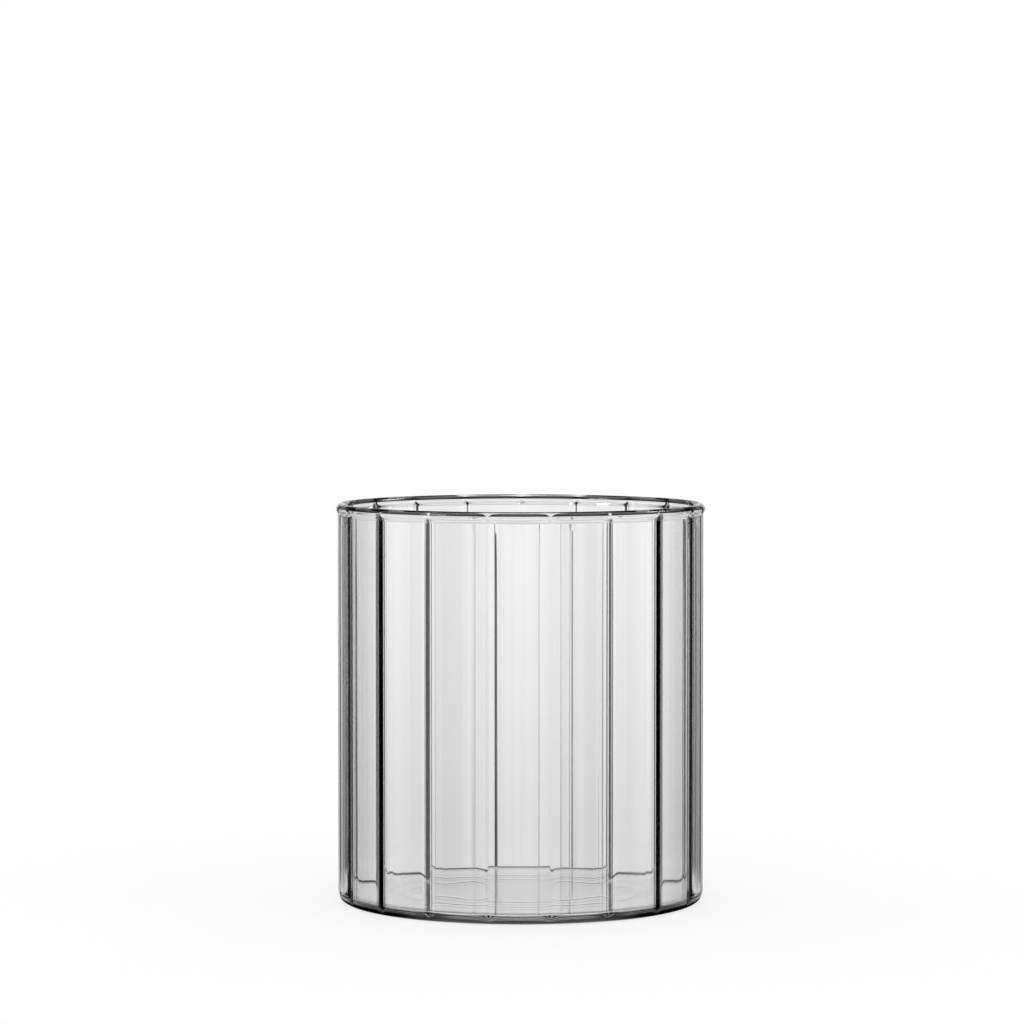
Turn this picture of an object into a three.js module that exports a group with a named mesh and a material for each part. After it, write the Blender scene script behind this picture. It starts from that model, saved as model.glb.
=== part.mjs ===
// Rocks glass: a straight, thin-walled tumbler of clear glass with vertical flutes.
// Millimetres, +Z up, origin at the centre of the flat underside.
import * as THREE from "three";

// Overall form
const height = 89;
const wallDiameter = 81.8;
const wallThickness = 2;

// Flutes: crowned panels parted by narrow grooves outside, with a shallow channel behind each groove
const fluteCount = 19;
const fluteTurn = -0.44;
const grooveDepth = 0.4;
const grooveHalfWidth = 0.78;
const grooveSharpness = 1.3;
const panelCrown = 0.29;
const channelDepth = 0.07;
const channelHalfWidth = 2.2;
const channelSharpness = 6;

// Where the flutes run out, over the lip just under its plain top and round the heel
const plainTop = 0.2;
const lipRunOut = 2;
const heelRunOut = 2.2;

// Base
const floorThickness = 2;
const floorFillet = 0.4;
const heelRadius = 2.4;

// Lip: a bead that swells out from the wall to its widest part and is rounded over the top
const lipOverhang = 0.4;
const lipBlend = 1.15;
const lipRise = 1.5;

// Smoothness of the round forms
const pointsPerFlute = 10;
const pointsAtGroove = 0.7;
const swellSteps = 4;
const arcSteps = 6;

const outerRadius = wallDiameter / 2;
const innerRadius = outerRadius - wallThickness;
const flutePitch = (2 * Math.PI) / fluteCount;
const halfPanel = (flutePitch / 2) * outerRadius;
const lipHalfWidth = (wallThickness + lipOverhang) / 2;
const lipWaist = height - lipRise;
const filletTop = floorThickness + floorFillet;
const baseTop = Math.max(heelRadius, floorThickness) + floorFillet;
const wallTop = lipWaist - lipBlend;
const runOutFoot = heelRadius - heelRunOut;
const runOutTop = height - plainTop;

function clearGlass() {
  return new THREE.MeshStandardMaterial({
    color: 0xf4f6f6,
    roughness: 0.03,
    metalness: 0,
    transparent: true,
    opacity: 0.25,
  });
}

// Points of an arc in the profile plane, between two angles in degrees, raised or flattened by rise.
function arc(centreX, centreY, radius, fromAngle, toAngle, rise = radius) {
  const points = [];
  for (let i = 0; i <= arcSteps; i++) {
    const angle = THREE.MathUtils.degToRad(
      THREE.MathUtils.lerp(fromAngle, toAngle, i / arcSteps),
    );
    points.push(
      new THREE.Vector2(
        centreX + radius * Math.cos(angle),
        centreY + rise * Math.sin(angle),
      ),
    );
  }
  return points;
}

// Points up the outside of the lip, from the wall to its widest part.
function lipSwell() {
  const points = [];
  for (let i = 0; i <= swellSteps; i++) {
    const z = THREE.MathUtils.lerp(wallTop, lipWaist, i / swellSteps);
    const swell = lipOverhang * THREE.MathUtils.smoothstep(z, wallTop, lipWaist);
    points.push(new THREE.Vector2(outerRadius + swell, z));
  }
  return points;
}

// A solid of revolution about +Z from a profile of radius and height.
function revolve(profile) {
  const geometry = new THREE.LatheGeometry(profile, fluteCount * pointsPerFlute);
  geometry.rotateX(Math.PI / 2);
  return geometry;
}

// Share of the full flute depth at a height: none under the heel and on top of the lip, all between.
function fluteShare(z) {
  const aboveHeel = THREE.MathUtils.smoothstep(z, runOutFoot, heelRadius);
  const belowTop = 1 - THREE.MathUtils.smoothstep(z, runOutTop - lipRunOut, runOutTop);
  return aboveHeel * belowTop;
}

// How far the outside is drawn in at a distance along the wall from the nearest groove.
function grooveOutside(along) {
  const groove = grooveDepth * Math.exp(-((along / grooveHalfWidth) ** grooveSharpness));
  const panel = panelCrown * (1 - along / halfPanel) ** 2;
  return groove + panel;
}

// How far the inside is hollowed out behind the groove.
function channelInside(along) {
  return channelDepth * Math.exp(-((along / channelHalfWidth) ** channelSharpness));
}

// Radius of a point of the wall once the flutes are drawn into it.
function flutedRadius(radius, along, z) {
  const midWall = (outerRadius + innerRadius) / 2;
  if (radius > midWall) return radius - grooveOutside(along) * fluteShare(z);
  if (radius > innerRadius - floorFillet / 2) return radius + channelInside(along) * fluteShare(z);
  return radius;
}

// Draws the flutes into a solid of revolution, with a panel to the front, facing -Y.
// Points gather at the grooves, where the wall turns most.
function flute(geometry) {
  const position = geometry.getAttribute("position");
  const point = new THREE.Vector3();
  const firstGroove = THREE.MathUtils.degToRad(fluteTurn) - flutePitch / 2;
  for (let i = 0; i < position.count; i++) {
    point.fromBufferAttribute(position, i);
    const radius = Math.hypot(point.x, point.y);
    const flat = Math.atan2(point.x, -point.y);
    const flutes = Math.round(flat / flutePitch);
    const share = (flat / flutePitch - flutes) * 2;
    const gathered = share * (1 - pointsAtGroove + pointsAtGroove * share ** 2);
    const along = Math.abs(gathered) * halfPanel;
    const fluted = flutedRadius(radius, along, point.z);
    const angle = (flutes + gathered / 2) * flutePitch + firstGroove;
    position.setXYZ(i, fluted * Math.sin(angle), -fluted * Math.cos(angle), point.z);
  }
  geometry.computeVertexNormals();
  return geometry;
}

function flutedWall() {
  const profile = [
    new THREE.Vector2(innerRadius, baseTop),
    new THREE.Vector2(outerRadius, baseTop),
    new THREE.Vector2(outerRadius, wallTop),
    new THREE.Vector2(innerRadius, wallTop),
    new THREE.Vector2(innerRadius, baseTop),
  ];
  return flute(revolve(profile));
}

function baseDisc() {
  const heelCentre = outerRadius - heelRadius;
  const filletCentre = innerRadius - floorFillet;
  const profile = [
    new THREE.Vector2(0, 0),
    ...arc(heelCentre, heelRadius, heelRadius, -90, 0),
    new THREE.Vector2(outerRadius, baseTop),
    new THREE.Vector2(innerRadius, baseTop),
    ...arc(filletCentre, filletTop, floorFillet, 0, -90),
    new THREE.Vector2(0, floorThickness),
  ];
  return flute(revolve(profile));
}

function rimLip() {
  const lipCentre = innerRadius + lipHalfWidth;
  const profile = [
    new THREE.Vector2(innerRadius, wallTop),
    ...lipSwell(),
    ...arc(lipCentre, lipWaist, lipHalfWidth, 0, 90, lipRise).slice(1),
    ...arc(lipCentre, lipWaist, lipHalfWidth, 90, 180, lipRise).slice(1),
    new THREE.Vector2(innerRadius, wallTop),
  ];
  return flute(revolve(profile));
}

function piece(name, geometry) {
  const mesh = new THREE.Mesh(geometry, clearGlass());
  mesh.name = name;
  return mesh;
}

const rocksGlass = new THREE.Group();
rocksGlass.add(piece("base_disc", baseDisc()));
rocksGlass.add(piece("fluted_wall", flutedWall()));
rocksGlass.add(piece("rim_lip", rimLip()));

export default rocksGlass;
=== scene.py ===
import math

import bpy
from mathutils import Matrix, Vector


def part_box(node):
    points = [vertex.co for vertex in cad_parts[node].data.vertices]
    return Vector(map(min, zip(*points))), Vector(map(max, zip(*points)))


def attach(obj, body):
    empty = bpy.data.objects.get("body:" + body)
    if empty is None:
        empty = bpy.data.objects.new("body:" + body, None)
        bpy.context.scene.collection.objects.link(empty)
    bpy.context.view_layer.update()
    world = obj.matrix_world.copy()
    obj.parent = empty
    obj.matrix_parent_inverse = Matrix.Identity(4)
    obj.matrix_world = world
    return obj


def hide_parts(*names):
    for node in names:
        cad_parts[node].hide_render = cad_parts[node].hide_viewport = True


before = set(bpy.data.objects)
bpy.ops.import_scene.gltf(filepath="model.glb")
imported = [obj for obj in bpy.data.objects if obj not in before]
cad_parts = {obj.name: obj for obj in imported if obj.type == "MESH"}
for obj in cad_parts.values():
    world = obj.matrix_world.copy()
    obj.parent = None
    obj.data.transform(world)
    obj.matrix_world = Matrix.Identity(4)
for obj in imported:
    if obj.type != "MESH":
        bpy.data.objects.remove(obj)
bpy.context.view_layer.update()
mm = 0.001
print("frame loaded:", ", ".join(sorted(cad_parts)))


# Tumbler: one skin over the base, the fluted wall and the lip, at the sizes of the solids

tumbler = {
    "fluteCount": 19,
    "fluteTurn": -0.44,  # degrees that the front panel is turned to the left
    "wallRadius": 40.89 * mm,  # a hair inside the solid
    "wallThickness": 2.0 * mm,
    "grooveDepth": 0.4 * mm,
    "grooveHalfWidth": 0.78 * mm,
    "grooveSharpness": 1.3,  # 2 is a soft round groove, 1 a sharp one
    "grooveRound": 0.04 * mm,  # rounding at the bottom of the groove
    "panelCrown": 0.29 * mm,
    "channelDepth": 0.07 * mm,  # shallow channel inside, behind each groove
    "channelHalfWidth": 2.2 * mm,
    "channelSharpness": 6,  # the higher, the flatter its bottom and the steeper its sides
    "lipOverhang": 0.4 * mm,
    "lipRise": 1.5 * mm,  # from the widest part of the lip to its top
    "lipBlend": 1.15 * mm,  # from the widest part of the lip down to the wall
    "lipShade": 0.95 * mm,  # how far down from the top the painted shade of the deeper grey reaches
    "plainTop": 0.2 * mm,  # the top of the lip, above the flutes
    "lipRunOut": 2.0 * mm,
    "fluteFoot": 0.2 * mm,  # height where the flutes have run out under the heel
    "floorThickness": 2.0 * mm,
    "floorFillet": 0.3 * mm,
    "floorRings": (19.0 * mm, 26.0 * mm),  # faint rings left by the pressing
    "ringHalfWidth": 0.6 * mm,
    "ringHeight": 0.025 * mm,
    "heelRadius": 2.4 * mm,
    "pointsPerFlute": 44,
    "pointsAtGroove": 0.75,  # 0 spaces the points evenly, 1 gathers them all at the grooves
    "arcSteps": 14,
    "lipSteps": 56,
    "runOutSteps": 16,
    "wallSteps": 10,
    "undersideSteps": 6,
    "floorSteps": 130,
}

clear, shadedEdge, shadedCorner = 0, 1, 2  # the glasses, by their place on the tumbler; those at edge and corner are shaded copies that paint shade with a deeper grey


def smoothStep(value, low, high):
    share = min(max((value - low) / (high - low), 0.0), 1.0)
    return share * share * (3 - 2 * share)


def arcPoints(centre, radius, fromDegrees, toDegrees, steps):
    points = []
    for i in range(steps + 1):
        angle = math.radians(fromDegrees + (toDegrees - fromDegrees) * i / steps)
        points.append((centre[0] + radius * math.cos(angle), centre[1] + radius * math.sin(angle)))
    return points


def evenSteps(low, high, steps):
    return [low + (high - low) * i / steps for i in range(steps + 1)]


def tumblerSizes(spec):
    sizes = {}
    sizes["outer"] = spec["wallRadius"]
    sizes["inner"] = sizes["outer"] - spec["wallThickness"]
    sizes["lipHalfWidth"] = (spec["wallThickness"] + spec["lipOverhang"]) / 2
    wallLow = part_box("fluted_wall")[0]
    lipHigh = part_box("rim_lip")[1]
    sizes["wallFoot"] = wallLow[2]
    sizes["lipTop"] = lipHigh[2]
    sizes["lipWaist"] = sizes["lipTop"] - spec["lipRise"]
    sizes["wallTop"] = sizes["lipWaist"] - spec["lipBlend"]
    sizes["runOutTop"] = sizes["lipTop"] - spec["plainTop"]
    sizes["runOutHead"] = sizes["runOutTop"] - spec["lipRunOut"]
    sizes["pitch"] = 2 * math.pi / spec["fluteCount"]
    sizes["halfPanel"] = sizes["pitch"] / 2 * sizes["outer"]
    return sizes


def tumblerProfile(spec, sizes):
    # radius, height, side and glass, from the centre of the underside round the lip to that of the floor
    outer, inner = sizes["outer"], sizes["inner"]
    heel, fillet = spec["heelRadius"], spec["floorFillet"]
    floor = spec["floorThickness"]
    points = []
    for r in evenSteps(0, outer - heel, spec["undersideSteps"])[1:-1]:
        points.append((r, 0.0, "plain", clear))
    # the heel takes the glass with painted shade
    for r, z in arcPoints((outer - heel, heel), heel, -90, 0, spec["arcSteps"]):
        points.append((r, z, "outer", shadedEdge))
    for z in evenSteps(heel, sizes["wallFoot"], spec["runOutSteps"])[1:]:
        points.append((outer, z, "outer", clear))
    for z in evenSteps(sizes["wallFoot"], sizes["wallTop"], spec["wallSteps"])[1:]:
        points.append((outer, z, "outer", clear))
    for z in evenSteps(sizes["wallTop"], sizes["lipWaist"], spec["runOutSteps"])[1:-1]:
        swell = smoothStep(z, sizes["wallTop"], sizes["lipWaist"])
        points.append((outer + spec["lipOverhang"] * swell, z, "outer", clear))
    for across, rise in arcPoints((0, 0), 1, 0, 180, spec["lipSteps"]):
        r = inner + sizes["lipHalfWidth"] * (1 + across)
        z = sizes["lipWaist"] + spec["lipRise"] * rise
        # the top of the lip takes the glass with painted shade
        glass = shadedEdge if z > sizes["lipTop"] - spec["lipShade"] else clear
        points.append((r, z, "outer" if across > 0 else "inner", glass))
    for z in evenSteps(sizes["lipWaist"], floor + fillet, spec["wallSteps"])[1:]:
        points.append((inner, z, "inner", clear))
    # the corner of the floor takes the glass with the heaviest painted shade
    for r, z in arcPoints((inner - fillet, floor + fillet), fillet, 0, -90, spec["arcSteps"])[1:]:
        points.append((r, z, "inner", shadedCorner))
    for r in evenSteps(inner - fillet, 0, spec["floorSteps"])[1:-1]:
        rise = 0.0
        for ring in spec["floorRings"]:
            rise += spec["ringHeight"] * math.exp(-(((r - ring) / spec["ringHalfWidth"]) ** 2))
        points.append((r, floor + rise, "plain", clear))
    return points


def drawnIn(spec, sizes, along, side):
    # how far the flutes draw the skin in, at a distance along the wall from the nearest groove
    if side == "outer":
        away = math.hypot(along, spec["grooveRound"]) - spec["grooveRound"]
        fall = (away / spec["grooveHalfWidth"]) ** spec["grooveSharpness"]
        crown = spec["panelCrown"] * (1 - away / sizes["halfPanel"]) ** 2
        return spec["grooveDepth"] * math.exp(-fall) + crown
    if side == "inner":
        fall = (along / spec["channelHalfWidth"]) ** spec["channelSharpness"]
        return -spec["channelDepth"] * math.exp(-fall)
    return 0.0


def fluteAngles(spec, sizes):
    # each angle with its distance along the wall from the nearest groove
    angles = []
    half = spec["pointsPerFlute"] // 2
    gather = spec["pointsAtGroove"]
    firstGroove = math.radians(spec["fluteTurn"]) - sizes["pitch"] / 2
    for flute in range(spec["fluteCount"]):
        for i in range(-half, half):
            share = i / half
            gathered = share * (1 - gather + gather * share * share)
            angle = (flute + gathered / 2) * sizes["pitch"] + firstGroove
            angles.append((angle, abs(gathered) * sizes["halfPanel"]))
    return angles


def buildTumbler(spec):
    sizes = tumblerSizes(spec)
    angles = fluteAngles(spec, sizes)
    profile = tumblerProfile(spec, sizes)
    count = len(angles)
    vertices = [(0.0, 0.0, 0.0)]
    for radius, z, side, _ in profile:
        share = smoothStep(z, spec["fluteFoot"], spec["heelRadius"])
        share *= 1 - smoothStep(z, sizes["runOutHead"], sizes["runOutTop"])
        for angle, along in angles:
            r = radius - share * drawnIn(spec, sizes, along, side)
            vertices.append((r * math.sin(angle), -r * math.cos(angle), z))
    vertices.append((0.0, 0.0, spec["floorThickness"]))
    # a band of faces takes the glass with painted shade only where both its rings of points have it
    ringGlasses = [glass for _, _, _, glass in profile]
    bandGlasses = []
    for lowGlass, highGlass in zip(ringGlasses, ringGlasses[1:]):
        bandGlasses.append(clear if lowGlass == clear else highGlass)
    faces = []
    glasses = []
    last = len(vertices) - 1
    top = 1 + len(bandGlasses) * count
    for j in range(count):
        k = (j + 1) % count
        faces.append((0, 1 + k, 1 + j))
        glasses.append(clear)
        for band, bandGlass in enumerate(bandGlasses):
            low = 1 + band * count
            high = low + count
            faces.append((low + j, low + k, high + k, high + j))
            glasses.append(bandGlass)
        faces.append((last, top + j, top + k))
        glasses.append(clear)
    mesh = bpy.data.meshes.new("tumbler_glass")
    mesh.from_pydata(vertices, [], faces)
    mesh.polygons.foreach_set("use_smooth", [True] * len(faces))
    mesh.polygons.foreach_set("material_index", glasses)
    piece = bpy.data.objects.new("tumbler_glass", mesh)
    bpy.context.collection.objects.link(piece)
    return piece


# Clear glass, and shaded copies of it whose deeper grey paints shade at lip and heel and in the corner
# of the floor

clearGlass = {
    "name": "clear_glass",
    "ior": 1.473,
    "colour": (1.0, 1.0, 1.0, 1.0),
    "greyPerMetre": 3.5,  # light lost along a path in the glass
    "haze": (0.0, 0.05),  # roughness, from the clearest patches to the dullest
    "hazeScale": 45.0,
    "hazePatches": (0.35, 0.75),  # noise at the clearest patches and at the dullest
    "drawLines": (900.0, 900.0, 2.0),  # upright lines left by the drawing of the wall
    "drawLineDepth": 0.011 * mm,
    "drawLineFoot": (4.0 * mm, 8.0 * mm),  # heights between which they fade in
    "drawLineHead": (84.0 * mm, 86.0 * mm),  # and out
    "noiseDetail": 1.0,
}

# shaded copies of the clear glass: their deeper grey is painted shade at the edges, not a tint of the
# glass
shadedEdgeGlass = {**clearGlass, "name": "clear_glass_painted_shade_edge", "greyPerMetre": 12.0}
shadedCornerGlass = {**clearGlass, "name": "clear_glass_painted_shade_corner", "greyPerMetre": 250.0}


def mathNode(nodes, links, operation, first, second=None):
    node = nodes.new("ShaderNodeMath")
    node.operation = operation
    for socket, value in zip(node.inputs, (first, second)):
        if value is None:
            continue
        if isinstance(value, (int, float)):
            socket.default_value = value
        else:
            links.new(value, socket)
    return node.outputs[0]


def mapNode(nodes, links, value, fromLow, fromHigh, toLow, toHigh):
    node = nodes.new("ShaderNodeMapRange")
    node.interpolation_type = "SMOOTHSTEP"
    links.new(value, node.inputs["Value"])
    node.inputs["From Min"].default_value = fromLow
    node.inputs["From Max"].default_value = fromHigh
    node.inputs["To Min"].default_value = toLow
    node.inputs["To Max"].default_value = toHigh
    return node.outputs["Result"]


def noiseNode(nodes, links, place, scale, detail):
    node = nodes.new("ShaderNodeTexNoise")
    node.inputs["Scale"].default_value = scale
    node.inputs["Detail"].default_value = detail
    links.new(place, node.inputs["Vector"])
    return node.outputs[0]


def clearGlassMaterial(spec):
    material = bpy.data.materials.new(spec["name"])
    material.use_nodes = True
    nodes, links = material.node_tree.nodes, material.node_tree.links
    shader = nodes["Principled BSDF"]
    shader.inputs["Base Color"].default_value = spec["colour"]
    shader.inputs["IOR"].default_value = spec["ior"]
    shader.inputs["Transmission Weight"].default_value = 1.0
    absorb = nodes.new("ShaderNodeVolumeAbsorption")
    halfGrey = 0.5  # the node takes up what this grey lacks, times its density
    absorb.inputs["Color"].default_value = (halfGrey, halfGrey, halfGrey, 1.0)
    absorb.inputs["Density"].default_value = spec["greyPerMetre"] / (1 - halfGrey)
    links.new(absorb.outputs["Volume"], nodes["Material Output"].inputs["Volume"])
    coords = nodes.new("ShaderNodeTexCoord")
    haze = noiseNode(nodes, links, coords.outputs["Object"], spec["hazeScale"], spec["noiseDetail"])
    dull = mapNode(nodes, links, haze, *spec["hazePatches"], *spec["haze"])
    links.new(dull, shader.inputs["Roughness"])
    stretch = nodes.new("ShaderNodeMapping")
    stretch.inputs["Scale"].default_value = spec["drawLines"]
    links.new(coords.outputs["Object"], stretch.inputs["Vector"])
    lines = noiseNode(nodes, links, stretch.outputs[0], 1.0, spec["noiseDetail"])
    split = nodes.new("ShaderNodeSeparateXYZ")
    links.new(coords.outputs["Object"], split.inputs[0])
    aboveHeel = mapNode(nodes, links, split.outputs["Z"], *spec["drawLineFoot"], 0.0, 1.0)
    belowLip = mapNode(nodes, links, split.outputs["Z"], *spec["drawLineHead"], 1.0, 0.0)
    onWall = mathNode(nodes, links, "MULTIPLY", aboveHeel, belowLip)
    bump = nodes.new("ShaderNodeBump")
    bump.inputs["Distance"].default_value = spec["drawLineDepth"]
    links.new(onWall, bump.inputs["Strength"])
    links.new(lines, bump.inputs["Height"])
    links.new(bump.outputs[0], shader.inputs["Normal"])
    return material


glassPiece = buildTumbler(tumbler)
for glass in (clearGlass, shadedEdgeGlass, shadedCornerGlass):
    glassPiece.data.materials.append(clearGlassMaterial(glass))
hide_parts("fluted_wall", "base_disc", "rim_lip")
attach(glassPiece, "root")
print("tumbler made:", len(glassPiece.data.vertices), "points")


# Studio: pale screens round the glass with dark gaps between, and a white background

studio = {
    "screenFade": [  # degrees from the middle of a screen, and how pale it is there
        (0, 0.95), (5, 0.97), (8, 1.0), (11, 1.04), (13, 1.0),
        (14.5, 0.85), (16, 0.42), (17.5, 0.1), (19, 0.03), (22, 0.05),
        (24.5, 0.36), (26.6, 0.85), (28.7, 0.36),  # a narrow pale strip beside the screen
        (31, 0.08), (36, 0.04), (45, 0.02),
    ],
    "sideFade": [  # the same for the screens at the two sides
        (0, 1.0), (7, 1.0), (12, 0.6), (18, 0.28), (26, 0.08), (36, 0.03), (45, 0.02),
    ],
    "screenHeight": [  # slope of the view, and how pale the screens are there
        (-1.0, 0.86), (-0.3, 0.82), (-0.2, 0.78), (-0.126, 0.74), (-0.0956, 0.83), (-0.0656, 0.90),
        (0.0, 0.94), (0.07, 0.92), (0.11, 0.6), (0.15, 0.6), (0.19, 0.85), (0.24, 0.75), (0.3, 0.45),
        (0.4, 0.28), (1.0, 0.28),
    ],
    "screenStrength": 1.03,
    "screenNarrowing": 12.0,  # degrees that the screens lose on each side for each unit of slope
    "narrowingMost": 8.0,  # and the most that they lose
    "screenLevel": -0.08,  # slope at which they have their full width
    "gapFill": (-0.2, -0.15),  # slopes between which the gaps fill in with pale floor
    "lampWays": [(-0.7, -0.35, 0.62), (0.7, 0.35, 0.62)],  # where the two soft lamps stand
    "lampEdge": (9.0, 6.0),  # degrees from the middle of a lamp, from its edge to its full light
    "lampStrength": 8.0,
}


def fadeNode(nodes, links, value, fade):
    low, high = fade[0][0], fade[-1][0]
    ramp = nodes.new("ShaderNodeValToRGB")
    stops = ramp.color_ramp.elements
    while len(stops) < len(fade):
        stops.new(0.5)
    for stop, (at, pale) in zip(stops, fade):
        stop.position = (at - low) / (high - low)
        stop.color = (pale, pale, pale, 1)
    place = nodes.new("ShaderNodeMapRange")
    links.new(value, place.inputs["Value"])
    place.inputs["From Min"].default_value = low
    place.inputs["From Max"].default_value = high
    links.new(place.outputs["Result"], ramp.inputs[0])
    return ramp.outputs["Color"]


def throughGlass(nodes, links):
    # 1 for light that comes by way of the glass, 0 for what is seen directly
    paths = nodes.new("ShaderNodeLightPath")
    glossy, passed = paths.outputs["Is Glossy Ray"], paths.outputs["Is Transmission Ray"]
    return mathNode(nodes, links, "MAXIMUM", glossy, passed)


def studioLight(spec):
    world = bpy.data.worlds.new("studio")
    bpy.context.scene.world = world
    world.use_nodes = True
    nodes, links = world.node_tree.nodes, world.node_tree.links
    background = nodes["Background"]
    coords = nodes.new("ShaderNodeTexCoord")
    split = nodes.new("ShaderNodeSeparateXYZ")
    links.new(coords.outputs["Generated"], split.inputs[0])
    absX = mathNode(nodes, links, "ABSOLUTE", split.outputs["X"])
    absY = mathNode(nodes, links, "ABSOLUTE", split.outputs["Y"])
    slope = split.outputs["Z"]

    # degrees from the middle of the nearest screen
    most = mathNode(nodes, links, "MAXIMUM", absX, absY)
    squareX = mathNode(nodes, links, "MULTIPLY", absX, absX)
    squareY = mathNode(nodes, links, "MULTIPLY", absY, absY)
    level = mathNode(nodes, links, "SQRT", mathNode(nodes, links, "ADD", squareX, squareY))
    towards = mathNode(nodes, links, "DIVIDE", most, level)
    fromMiddle = mathNode(nodes, links, "ARCCOSINE", towards)
    fromMiddle = mathNode(nodes, links, "DEGREES", fromMiddle)
    lower = mathNode(nodes, links, "SUBTRACT", spec["screenLevel"], slope)
    narrower = mathNode(nodes, links, "MULTIPLY", lower, spec["screenNarrowing"])
    narrower = mathNode(nodes, links, "MAXIMUM", narrower, 0.0)
    narrower = mathNode(nodes, links, "MINIMUM", narrower, spec["narrowingMost"])
    fromMiddle = mathNode(nodes, links, "ADD", fromMiddle, narrower)

    # screens at the ends and at the sides, with the gaps between them
    ends = fadeNode(nodes, links, fromMiddle, spec["screenFade"])
    sides = fadeNode(nodes, links, fromMiddle, spec["sideFade"])
    toSide = mathNode(nodes, links, "GREATER_THAN", absX, absY)
    toEnd = mathNode(nodes, links, "SUBTRACT", 1.0, toSide)
    sides = mathNode(nodes, links, "MULTIPLY", sides, toSide)
    ends = mathNode(nodes, links, "MULTIPLY", ends, toEnd)
    screens = mathNode(nodes, links, "ADD", sides, ends)
    filled = mapNode(nodes, links, slope, *spec["gapFill"], 1.0, 0.0)
    screens = mathNode(nodes, links, "MAXIMUM", screens, filled)
    upright = fadeNode(nodes, links, slope, spec["screenHeight"])
    seen = mathNode(nodes, links, "MULTIPLY", upright, screens)
    seen = mathNode(nodes, links, "MULTIPLY", seen, spec["screenStrength"])

    low, full = [math.cos(math.radians(angle)) for angle in spec["lampEdge"]]
    for way in spec["lampWays"]:
        facing = nodes.new("ShaderNodeVectorMath")
        facing.operation = "DOT_PRODUCT"
        links.new(coords.outputs["Generated"], facing.inputs[0])
        facing.inputs[1].default_value = Vector(way).normalized()
        lamp = mapNode(nodes, links, facing.outputs["Value"], low, full, 0.0, spec["lampStrength"])
        seen = mathNode(nodes, links, "ADD", seen, lamp)

    # the glass shows the studio, all else the plain white
    through = throughGlass(nodes, links)
    plain = mathNode(nodes, links, "SUBTRACT", 1.0, through)
    shown = mathNode(nodes, links, "MULTIPLY", seen, through)
    links.new(mathNode(nodes, links, "ADD", shown, plain), background.inputs["Color"])
    background.inputs["Strength"].default_value = 1.0


studioLight(studio)
print("studio light set")


# Floor: white with a soft shadow, and a dark ring of painted shade under the heel that only the glass
# shows

floorSheet = {
    "reach": 4.0,  # from the axis to each side
    "drop": 0.05 * mm,  # below the underside of the glass
    "colour": (1.0, 1.0, 1.0, 1.0),
    "shadowShare": 0.25,  # how much of the shadow shows
    "paintedShadeFade": [  # distance from the axis in millimetres, and the shade under the heel
        (0, 0.0), (37.5, 0.0), (39.5, 1.0), (41.2, 1.0), (42, 0.0),
    ],
    "paintedShadeSides": (0.35, 0.7),  # share of that distance that lies to the side, where the shade deepens
    # near-black of the painted shade under the heel
    "paintedShadeColour": (0.005, 0.005, 0.005, 1.0),
}


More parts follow.
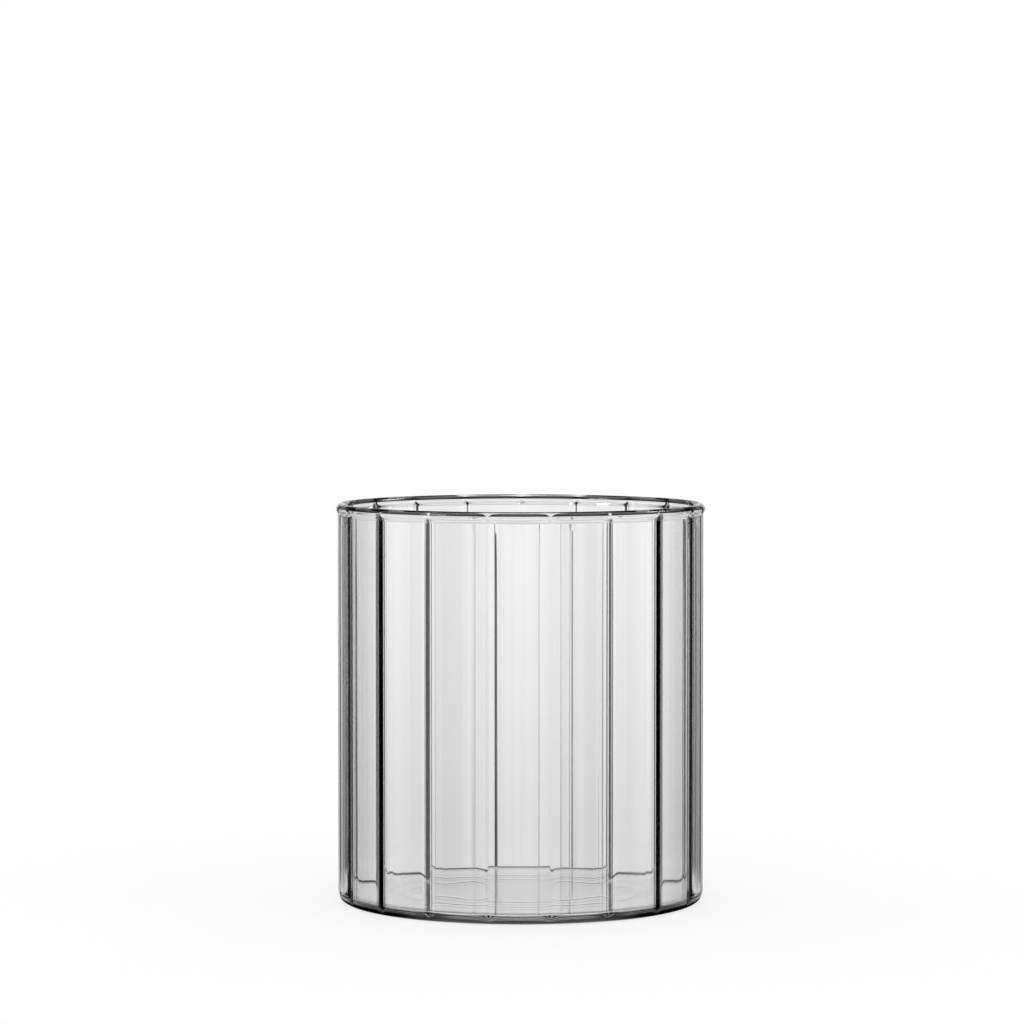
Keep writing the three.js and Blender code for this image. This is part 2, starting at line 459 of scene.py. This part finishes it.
def paleFloor(spec):
    mesh = bpy.data.meshes.new("pale_floor")
    reach = spec["reach"]
    corners = [(-reach, -reach, 0), (reach, -reach, 0), (reach, reach, 0), (-reach, reach, 0)]
    mesh.from_pydata(corners, [], [(0, 1, 2, 3)])
    floor = bpy.data.objects.new("pale_floor", mesh)
    bpy.context.collection.objects.link(floor)
    floor.location.z = -spec["drop"]
    material = bpy.data.materials.new("pale_floor")
    material.use_nodes = True
    nodes, links = material.node_tree.nodes, material.node_tree.links
    output = nodes["Material Output"]
    nodes.remove(nodes["Principled BSDF"])
    matte = nodes.new("ShaderNodeBsdfDiffuse")
    matte.inputs["Color"].default_value = spec["colour"]
    glow = nodes.new("ShaderNodeEmission")
    lit = nodes.new("ShaderNodeMixShader")
    lit.inputs[0].default_value = spec["shadowShare"]
    links.new(glow.outputs[0], lit.inputs[1])
    links.new(matte.outputs[0], lit.inputs[2])

    # Painted shade: a near-black sheet under the heel, deeper towards the sides where less light falls,
    # stands in for the contact shadow and is seen only by way of the glass
    coords = nodes.new("ShaderNodeTexCoord")
    fromAxis = nodes.new("ShaderNodeVectorMath")
    fromAxis.operation = "LENGTH"
    links.new(coords.outputs["Object"], fromAxis.inputs[0])
    away = mathNode(nodes, links, "MULTIPLY", fromAxis.outputs["Value"], 1 / mm)
    paintedShade = fadeNode(nodes, links, away, spec["paintedShadeFade"])
    split = nodes.new("ShaderNodeSeparateXYZ")
    links.new(coords.outputs["Object"], split.inputs[0])
    aside = mathNode(nodes, links, "ABSOLUTE", split.outputs["X"])
    aside = mathNode(nodes, links, "DIVIDE", aside, fromAxis.outputs["Value"])
    aside = mapNode(nodes, links, aside, *spec["paintedShadeSides"], 0.0, 1.0)
    paintedShade = mathNode(nodes, links, "MULTIPLY", paintedShade, aside)
    seeThrough = nodes.new("ShaderNodeBsdfTransparent")
    paintedShadeSheet = nodes.new("ShaderNodeBsdfDiffuse")
    paintedShadeSheet.inputs["Color"].default_value = spec["paintedShadeColour"]
    under = nodes.new("ShaderNodeMixShader")
    links.new(paintedShade, under.inputs[0])
    links.new(seeThrough.outputs[0], under.inputs[1])
    links.new(paintedShadeSheet.outputs[0], under.inputs[2])

    mix = nodes.new("ShaderNodeMixShader")
    links.new(throughGlass(nodes, links), mix.inputs[0])
    links.new(lit.outputs[0], mix.inputs[1])
    links.new(under.outputs[0], mix.inputs[2])
    links.new(mix.outputs[0], output.inputs["Surface"])
    mesh.materials.append(material)


paleFloor(floorSheet)
print("floor laid")


# Camera at the photograph's angle

view = {
    "distance": 966 * mm,
    "height": 137.3 * mm,
    "pitch": 2.983,  # degrees down from level
    "focalPixels": 4334.0,
    "axisPixel": 520.55,  # where the axis of the glass stands across the picture
    "picturePixels": 1024.0,
    "sensor": 36.0,
    "nearest": 0.01,
    "farthest": 50.0,
}


def photographCamera(spec):
    data = bpy.data.cameras.new("photograph")
    data.sensor_fit = "HORIZONTAL"
    data.sensor_width = spec["sensor"]
    data.lens = spec["focalPixels"] / spec["picturePixels"] * spec["sensor"]
    data.clip_start = spec["nearest"]
    data.clip_end = spec["farthest"]
    camera = bpy.data.objects.new("photograph", data)
    bpy.context.collection.objects.link(camera)
    camera.location = (0, -spec["distance"], spec["height"])
    offAxis = math.atan((spec["axisPixel"] - spec["picturePixels"] / 2) / spec["focalPixels"])
    camera.rotation_euler = (math.radians(90 - spec["pitch"]), 0, offAxis)
    bpy.context.scene.camera = camera


photographCamera(view)
bpy.context.scene.view_settings.view_transform = "Standard"
print("camera set")
